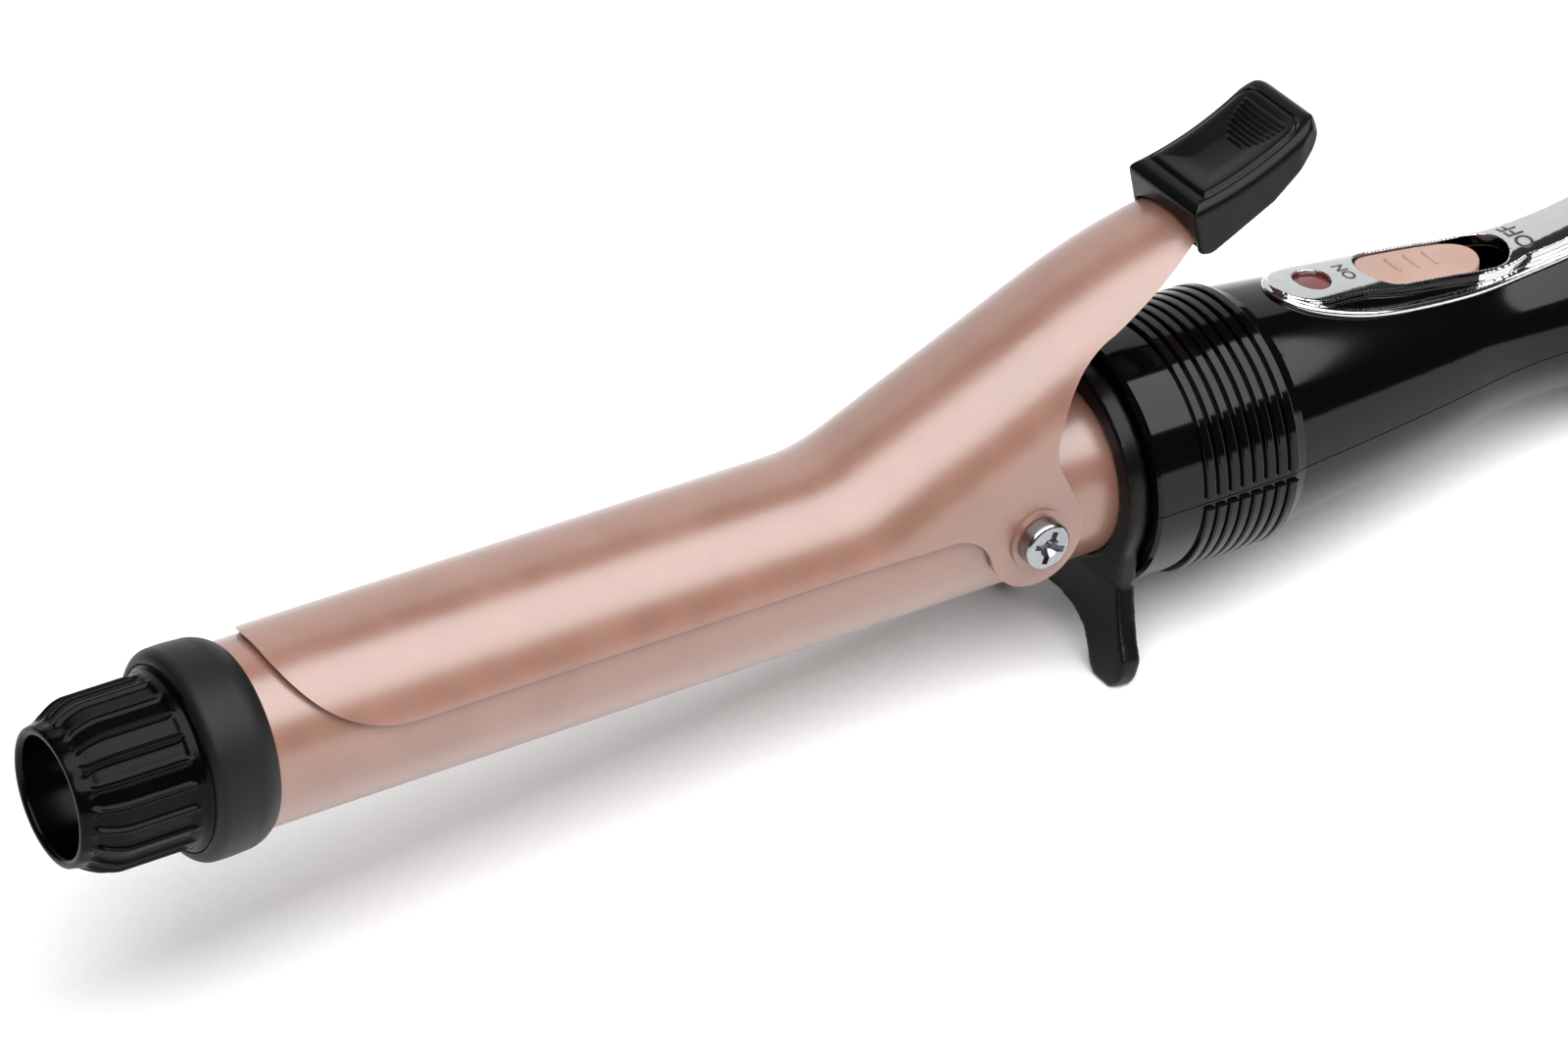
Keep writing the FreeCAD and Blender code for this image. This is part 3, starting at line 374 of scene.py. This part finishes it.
# Satin black moulding: a soft sheen broken by a very fine spark-eroded grain.
satin_black = new_finish("satin_black_nylon", "#040404", "#080808", 0.25, (0.28, 0.34), 0.008,
                         **{"Specular IOR Level": 0.18})
thumb_shoe.data.materials.append(satin_black)
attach(thumb_shoe, "clip")
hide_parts("thumb_rest", "thumb_pad")

# ---------------------------------------------------------------- stand
# Moulded ring plate round the barrel with two splayed feet that lean towards the tip. It keeps
# the hot barrel off the table; its edges are rounded by the mould.
stand = soften("stand_moulding", ["stand"], 0.32, 26)
stand.data.materials.append(satin_black)
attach(stand, "iron")
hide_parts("stand")

# ---------------------------------------------------------------- handle
# Two glossy black half shells that meet along the sides, screwed together from below, with
# raised grip ribs round the front.
paint(gloss_black, "handle_upper", "handle_lower")
paint(satin_black, "switch_body", "cord_gland", "barrel_holder")

# ---------------------------------------------------------------- switch trim
# Plated plastic plate set in the upper shell: a flat crown with the slot and the lamp hole,
# and a round bead that follows its outline, bright as a mirror.
# Chrome plate on polished plastic: a clean mirror with the slightest orange peel.
chrome = new_finish("bright_chrome_plate", "#C2C3C5", "#CCCDCF", 3.0, (0.06, 0.09), 0.0005,
                    Metallic=1.0)


def surface_of(*names):
    """Search tree of carried-over pieces, for dropping points on to them."""
    draft = bmesh.new()
    for name in names:
        draft.from_mesh(frame["nodes"][name].data)
    tree = BVHTree.FromBMesh(draft)
    draft.free()
    return tree


OVERHEAD = 60.0
DOWN = (on_iron(0, 0, -1) - on_iron(0, 0, 0)).normalized()


def drop_on(tree, x, y, lift):
    """Point on a surface under x, y on the iron's own axes, raised by lift millimetres."""
    hit = tree.ray_cast(on_iron(x, y, OVERHEAD), DOWN)[0]
    return hit - DOWN * (lift * MM)


shell_top = surface_of("handle_upper")
# The bead's radius, how far its middle stands over the shell, and its path on one side.
BEAD, BEAD_LIFT = 0.75, 0.3
outline = [(59.7, 0.0), (60.6, 3.0), (63.4, 6.1), (68.0, 8.0), (73.5, 9.2), (79.5, 9.5),
           (86.0, 9.3), (92.0, 8.9), (98.0, 8.3), (104.0, 7.5), (110.0, 6.7), (116.0, 6.2),
           (123.0, 6.0), (130.5, 6.0), (134.6, 4.2), (136.6, 0.0)]
loop = outline + [(x, -y) for x, y in outline[-2:0:-1]]
path = bpy.data.curves.new("bead_path", "CURVE")
path.dimensions = "3D"
path.bevel_depth = BEAD * MM
path.bevel_resolution = 6
path.resolution_u = 12
line = path.splines.new("NURBS")
line.points.add(len(loop) - 1)
for point, (x, y) in zip(line.points, loop):
    point.co = (*drop_on(shell_top, x, y, BEAD_LIFT), 1.0)
line.use_cyclic_u = True
line.order_u = 3
bead_curve = add_object("bead_curve", path)
bead_mesh = finished_mesh(bead_curve)
bpy.data.objects.remove(bead_curve)
trim = soften("switch_trim_plating", ["switch_trim"], 0.19, 6, [bead_mesh])
trim.data.materials.append(chrome)
# The low channel between the crown and the bead is left black by the plating mask. The crown's
# steep side walls are plated, but they get the same black as painted shade, in place of the dark
# reflection their chrome shows.
trim.data.materials.append(gloss_black)
# The channel is bounded by the bright rim, by its own ends and by how high its floor lies over the
# shell.
# The crown's steep side walls that lie outside the slot are added to it as painted shade.
RIM, CHANNEL_FRONT, CHANNEL_REAR, FLOOR_TOP = 1.0, 61.0, 135.5, 0.62
STEEP, WALL_FROM = 0.35, 4.5
SLOT_HALF, SLOT_FRONT, SLOT_REAR = 6.0, 78.0, 112.5
BLACK_CHANNEL_AND_PAINTED_WALL_SHADE = 1
to_iron = IRON.inverted()
outline_x, outline_y = zip(*outline)
for face in trim.data.polygons:
    place = to_iron @ face.center / MM
    width = np.interp(place.x, outline_x, outline_y)
    if abs(place.y) > width - RIM or not CHANNEL_FRONT < place.x < CHANNEL_REAR:
        continue
    shell = shell_top.ray_cast(on_iron(place.x, place.y, OVERHEAD), DOWN)[0]
    low = shell is not None and place.z - (to_iron @ shell / MM).z < FLOOR_TOP
    painted_shade_wall = abs((to_iron.to_3x3() @ face.normal).y) > STEEP
    in_slot = abs(place.y) < SLOT_HALF and SLOT_FRONT < place.x < SLOT_REAR
    # Painted shade: steep chrome walls outside the slot get the black finish to stand in for their
    # dark reflection.
    if low or (painted_shade_wall and abs(place.y) > WALL_FROM and not in_slot):
        face.material_index = BLACK_CHANNEL_AND_PAINTED_WALL_SHADE
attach(trim, "iron")
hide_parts("switch_trim")

# ---------------------------------------------------------------- switch marks
# Plain on and off words in thin grey print on the crown, read from the near side.
ink = new_finish("grey_pad_print", "#2C2C2F", "#363639", 0.3, (0.45, 0.55), 0.002)
crown_top = BVHTree.FromObject(trim, bpy.context.evaluated_depsgraph_get())


def print_mark(name, word, middle_x, width_mm):
    """Word laid on the crown as a very thin raised print."""
    lift, thickness = 0.03, 0.05
    text = bpy.data.curves.new(name, "FONT")
    text.body = word
    text.align_x = "CENTER"
    text.align_y = "CENTER"
    text.resolution_u = 6
    text.offset = 0.018
    letters = add_object(name, text)
    mesh = finished_mesh(letters)
    bpy.data.objects.remove(letters)
    draft = bmesh.new()
    draft.from_mesh(mesh)
    bmesh.ops.remove_doubles(draft, verts=draft.verts, dist=1e-5)
    bmesh.ops.triangulate(draft, faces=draft.faces)
    bmesh.ops.subdivide_edges(draft, edges=draft.edges, cuts=1)
    low = min(v.co.x for v in draft.verts)
    high = max(v.co.x for v in draft.verts)
    size = width_mm / (high - low)
    for v in draft.verts:
        v.co = drop_on(crown_top, middle_x - v.co.y * size, (v.co.x - (low + high) / 2) * size,
                       lift)
    draft.to_mesh(mesh)
    draft.free()
    mark = add_object(name, mesh)
    mesh.materials.clear()
    mesh.materials.append(ink)
    solid = mark.modifiers.new("print_thickness", "SOLIDIFY")
    solid.thickness = thickness * MM
    solid.offset = -1
    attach(mark, "iron")


print_mark("mark_on", "ON", 76.0, 5.2)
print_mark("mark_off", "OFF", 114.6, 8.2)

# ---------------------------------------------------------------- slide knob
# Matte rose knob that slides along the slot, with three low ribs across it for the finger.
knob = soften("slide_knob_moulding", ["slide_knob"], 0.25, 6)
# Matte rose plastic: the barrel's colour without its pearl.
rose_plastic = new_finish("matte_rose_abs", "#9F8073", "#A88A7D", 0.3, (0.42, 0.5), 0.006)
knob.data.materials.append(rose_plastic)
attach(knob, "switch_knob")
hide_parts("slide_knob")

knob_top = surface_of("slide_knob")
seats = bpy.data.meshes.new("knob_ribs")
seats.from_pydata([drop_on(knob_top, x, 0.0, 0.0) for x in (86.6, 90.8, 95.0)], [], [])
knob_ribs = add_object("knob_ribs", seats)
tree = bpy.data.node_groups.new("ribs_on_knob", "GeometryNodeTree")
tree.interface.new_socket("Geometry", in_out="INPUT", socket_type="NodeSocketGeometry")
for label in ("Length", "Width", "Height", "Lean"):
    tree.interface.new_socket(label, in_out="INPUT", socket_type="NodeSocketFloat")
tree.interface.new_socket("Geometry", in_out="OUTPUT", socket_type="NodeSocketGeometry")
given = tree.nodes.new("NodeGroupInput")
ball = tree.nodes.new("GeometryNodeMeshUVSphere")
ball.inputs["Segments"].default_value = 24
ball.inputs["Rings"].default_value = 12
ball.inputs["Radius"].default_value = 1.0
shape = tree.nodes.new("ShaderNodeCombineXYZ")
turned = tree.nodes.new("ShaderNodeCombineXYZ")
stretch = tree.nodes.new("GeometryNodeTransform")
put = tree.nodes.new("GeometryNodeInstanceOnPoints")
real = tree.nodes.new("GeometryNodeRealizeInstances")
smooth = tree.nodes.new("GeometryNodeSetShadeSmooth")
dress = tree.nodes.new("GeometryNodeSetMaterial")
dress.inputs["Material"].default_value = rose_plastic
result = tree.nodes.new("NodeGroupOutput")
for start, finish in (
        (given.outputs["Width"], shape.inputs["X"]), (given.outputs["Length"], shape.inputs["Y"]),
        (given.outputs["Height"], shape.inputs["Z"]), (given.outputs["Lean"], turned.inputs["Y"]),
        (ball.outputs["Mesh"], stretch.inputs["Geometry"]),
        (shape.outputs[0], stretch.inputs["Scale"]),
        (given.outputs["Geometry"], put.inputs["Points"]),
        (stretch.outputs["Geometry"], put.inputs["Instance"]),
        (turned.outputs[0], put.inputs["Rotation"]),
        (put.outputs["Instances"], real.inputs["Geometry"]),
        (real.outputs["Geometry"], smooth.inputs["Geometry"]),
        (smooth.outputs["Geometry"], dress.inputs["Geometry"]),
        (dress.outputs["Geometry"], result.inputs["Geometry"])):
    tree.links.new(start, finish)
maker = knob_ribs.modifiers.new("ribs_on_knob", "NODES")
maker.node_group = tree
sizes = {"Length": 2.5 * MM, "Width": 0.75 * MM, "Height": 0.42 * MM, "Lean": lean}
for item in tree.interface.items_tree:
    if item.in_out == "INPUT" and item.name in sizes:
        maker[item.identifier] = sizes[item.name]
rib_mesh = finished_mesh(knob_ribs)
knob_ribs.modifiers.clear()
knob_ribs.data = rib_mesh
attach(knob_ribs, "switch_knob")

# ---------------------------------------------------------------- lamp and lens
# Clear dark red lens over a small glass lamp that shows when the iron is on.
red_acrylic = new_finish("red_acrylic", "#5A2626", "#6C3030", 1.0, (0.12, 0.2), 0.002)
paint(red_acrylic, "indicator_lens", "indicator_lamp")

# ---------------------------------------------------------------- floor, lights and camera
# A wide pale sheet of paper under two large soft boxes: one high in front of the iron, and a
# weaker one behind it, with a dark gap between them overhead.
table = bpy.data.meshes.new("floor")
reach = 6.0
table.from_pydata([(-reach, -reach, 0), (reach, -reach, 0), (reach, reach, 0),
                   (-reach, reach, 0)], [], [(0, 1, 2, 3)])
floor = add_object("floor", table)
floor.data.materials.append(new_finish("white_paper", "#F2F2F3", "#F6F6F7", 2.0, (0.7, 0.8),
                                       0.002))


def soft_box(name, lean_degrees, power, along, across, middle_x):
    """Area light over the iron, leaning to the front by an angle from straight up."""
    light = bpy.data.lights.new(name, "AREA")
    light.shape = "RECTANGLE"
    light.size = along
    light.size_y = across
    light.energy = power
    lamp = add_object(name, light)
    angle = math.radians(lean_degrees)
    distance = 1.6
    lamp.location = (middle_x, -distance * math.sin(angle), distance * math.cos(angle))
    lamp.rotation_euler = (angle, 0, 0)


soft_box("front_box", 25, 79, 3.2, 1.75, 0.35)
soft_box("rear_box", -62, 14, 2.4, 1.9, 0.75)
world = bpy.data.worlds.new("room")
world.use_nodes = True
world.node_tree.nodes["Background"].inputs["Color"].default_value = (1, 1, 1, 1)
world.node_tree.nodes["Background"].inputs["Strength"].default_value = 0.05
bpy.context.scene.world = world
bpy.context.scene.view_settings.view_transform = "Standard"

lens = bpy.data.cameras.new("camera")
lens.lens = 156.33
lens.sensor_width = 36.0
camera = add_object("camera", lens)
camera.location = (-0.5035, -0.8085, 0.7202)
camera.rotation_euler = [math.radians(angle) for angle in (54.046, 3.389, -32.503)]
bpy.context.scene.camera = camera
